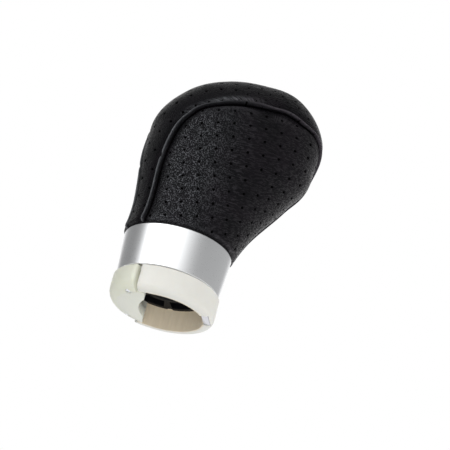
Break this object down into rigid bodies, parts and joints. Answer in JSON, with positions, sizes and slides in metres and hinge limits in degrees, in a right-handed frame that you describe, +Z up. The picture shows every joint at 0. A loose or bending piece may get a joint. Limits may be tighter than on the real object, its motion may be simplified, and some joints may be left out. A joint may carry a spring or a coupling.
{
  "type": "gear shift knob",
  "caption": "Leather covered gear shift knob with an overhanging head, a satin metal collar and a white nylon lock ring with its key under it.",
  "frame": {"origin": "centre of the lock's flat underside, on the axis of the shift lever's bore", "axes": "+Z up along the lever's axis, +X towards the overhanging nose of the head; the head is symmetric about the XZ plane"},
  "size_m": [0.0622, 0.0464, 0.0951],
  "materials": {
    "leather": "satin",
    "band_leather": "satin",
    "foam": "matte",
    "black_nylon": "matte",
    "rubber": "matte",
    "spring_steel": "satin",
    "weight_metal": "cast",
    "satin_metal": "satin",
    "white_nylon": "satin",
    "key_nylon": "satin"
  },
  "bodies": {
    "head": {"right_side_panel": "leather", "left_side_panel": "leather", "centre_band": "band_leather", "foam_body": "foam", "lever_socket": "black_nylon", "socket_cap": "black_nylon", "lever_damper": "rubber", "lever_snap_ring": "spring_steel", "balance_weight": "weight_metal", "leather_clamp_ring": "black_nylon", "collar": "satin_metal", "collar_liner": "black_nylon", "liner_screws": "spring_steel", "friction_washer": "spring_steel"},
    "lock": {"lock_ring": "white_nylon", "lock_key": "key_nylon", "key_dowels": "spring_steel", "detent_spring": "spring_steel"}
  },
  "joints": [
    {"name": "lock_turn", "type": "hinge", "parent": "head", "child": "lock", "pos_m": [0, 0, 0], "axis": [0, 0, 1], "range_deg": [0, 90], "deforming": ["detent_spring"]}
  ]
}
